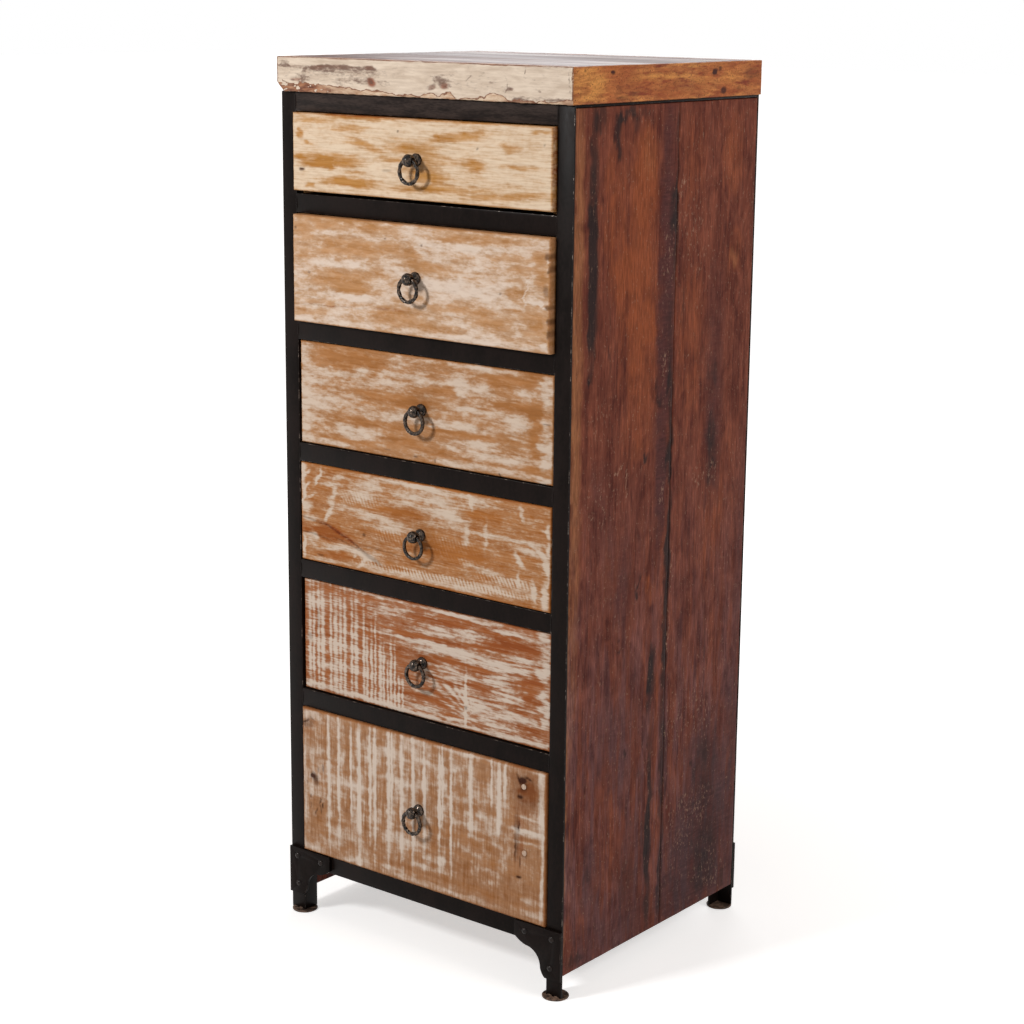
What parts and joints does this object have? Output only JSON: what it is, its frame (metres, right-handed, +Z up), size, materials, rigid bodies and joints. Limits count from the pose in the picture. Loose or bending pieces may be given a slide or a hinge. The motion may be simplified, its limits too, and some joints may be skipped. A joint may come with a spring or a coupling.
{
  "type": "chest of drawers",
  "caption": "Tall chest of drawers: black steel angle frame, dark plank sides, thick edged top, whitewashed drawer fronts and iron ring pulls.",
  "frame": {"origin": "on the floor, under the middle of the chest's bounding box", "axes": "+Z up, -Y towards the front where the drawers open, +X to the right seen from the front"},
  "size_m": [0.489, 0.4507, 1.2],
  "materials": {
    "frame_steel": "satin black paint, worn at the edges",
    "foot_steel": "worn black paint with rust",
    "screw_steel": "dull zinc",
    "pull_iron": "dark antique iron",
    "plank_wood": "oiled dark reclaimed hardwood",
    "board_wood": "raw planed softwood",
    "top_wood": "waxed dark reclaimed boards",
    "cream_paint": "old cream paint, chipped and stained",
    "edge_wood": "oiled orange reclaimed wood",
    "front_wood_1": "brushed whitewash over tan wood, waxed",
    "front_wood_2": "brushed whitewash over tan wood, waxed",
    "front_wood_3": "brushed whitewash over tan wood, waxed",
    "front_wood_4": "brushed whitewash over tan wood, waxed",
    "front_wood_5": "brushed whitewash over tan wood, waxed",
    "front_wood_6": "brushed whitewash over tan wood, waxed"
  },
  "bodies": {
    "chest": {"front_left_post": "frame_steel", "front_right_post": "frame_steel", "back_left_post": "frame_steel", "back_right_post": "frame_steel", "top_cross_rails": "frame_steel", "top_side_rails": "frame_steel", "front_drawer_rails": "frame_steel", "front_bottom_rail": "frame_steel", "back_cross_bars": "frame_steel", "drawer_runners": "frame_steel", "left_side_planks": "plank_wood", "right_side_planks": "plank_wood", "back_boards": "board_wood", "foot_brackets": "frame_steel", "bracket_rivets": "frame_steel", "foot_discs": "foot_steel", "top_boards": "top_wood", "top_battens": "board_wood", "top_front_edge": "cream_paint", "top_back_edge": "edge_wood", "top_left_edge": "edge_wood", "top_right_edge": "edge_wood", "frame_screws": "screw_steel"},
    "drawer_1": {"drawer_1_front": "front_wood_1", "drawer_1_sides": "board_wood", "drawer_1_back": "board_wood", "drawer_1_bottom": "board_wood", "drawer_1_pull": "pull_iron"},
    "ring_1": {"drawer_1_ring": "pull_iron"},
    "drawer_2": {"drawer_2_front": "front_wood_2", "drawer_2_sides": "board_wood", "drawer_2_back": "board_wood", "drawer_2_bottom": "board_wood", "drawer_2_pull": "pull_iron"},
    "ring_2": {"drawer_2_ring": "pull_iron"},
    "drawer_3": {"drawer_3_front": "front_wood_3", "drawer_3_sides": "board_wood", "drawer_3_back": "board_wood", "drawer_3_bottom": "board_wood", "drawer_3_pull": "pull_iron"},
    "ring_3": {"drawer_3_ring": "pull_iron"},
    "drawer_4": {"drawer_4_front": "front_wood_4", "drawer_4_sides": "board_wood", "drawer_4_back": "board_wood", "drawer_4_bottom": "board_wood", "drawer_4_pull": "pull_iron"},
    "ring_4": {"drawer_4_ring": "pull_iron"},
    "drawer_5": {"drawer_5_front": "front_wood_5", "drawer_5_sides": "board_wood", "drawer_5_back": "board_wood", "drawer_5_bottom": "board_wood", "drawer_5_pull": "pull_iron"},
    "ring_5": {"drawer_5_ring": "pull_iron"},
    "drawer_6": {"drawer_6_front": "front_wood_6", "drawer_6_sides": "board_wood", "drawer_6_back": "board_wood", "drawer_6_bottom": "board_wood", "drawer_6_pull": "pull_iron"},
    "ring_6": {"drawer_6_ring": "pull_iron"}
  },
  "joints": [
    {"name": "drawer_1_slide", "type": "slide", "parent": "chest", "child": "drawer_1", "axis": [0, -1, 0], "range_m": [0, 0.3]},
    {"name": "ring_1_swing", "type": "hinge", "parent": "drawer_1", "child": "ring_1", "pos_m": [0, -0.21513, 1.0777], "axis": [-1, 0, 0], "range_deg": [-25, 205]},
    {"name": "drawer_2_slide", "type": "slide", "parent": "chest", "child": "drawer_2", "axis": [0, -1, 0], "range_m": [0, 0.3]},
    {"name": "ring_2_swing", "type": "hinge", "parent": "drawer_2", "child": "ring_2", "pos_m": [0, -0.21713, 0.9283], "axis": [-1, 0, 0], "range_deg": [-25, 205]},
    {"name": "drawer_3_slide", "type": "slide", "parent": "chest", "child": "drawer_3", "axis": [0, -1, 0], "range_m": [0, 0.3]},
    {"name": "ring_3_swing", "type": "hinge", "parent": "drawer_3", "child": "ring_3", "pos_m": [0, -0.20513, 0.7558], "axis": [-1, 0, 0], "range_deg": [-25, 205]},
    {"name": "drawer_4_slide", "type": "slide", "parent": "chest", "child": "drawer_4", "axis": [0, -1, 0], "range_m": [0, 0.3]},
    {"name": "ring_4_swing", "type": "hinge", "parent": "drawer_4", "child": "ring_4", "pos_m": [0, -0.20713, 0.5893], "axis": [-1, 0, 0], "range_deg": [-25, 205]},
    {"name": "drawer_5_slide", "type": "slide", "parent": "chest", "child": "drawer_5", "axis": [0, -1, 0], "range_m": [0, 0.3]},
    {"name": "ring_5_swing", "type": "hinge", "parent": "drawer_5", "child": "ring_5", "pos_m": [0, -0.20312, 0.4133], "axis": [-1, 0, 0], "range_deg": [-25, 205]},
    {"name": "drawer_6_slide", "type": "slide", "parent": "chest", "child": "drawer_6", "axis": [0, -1, 0], "range_m": [0, 0.3]},
    {"name": "ring_6_swing", "type": "hinge", "parent": "drawer_6", "child": "ring_6", "pos_m": [0, -0.21013, 0.2073], "axis": [-1, 0, 0], "range_deg": [-25, 205]}
  ]
}
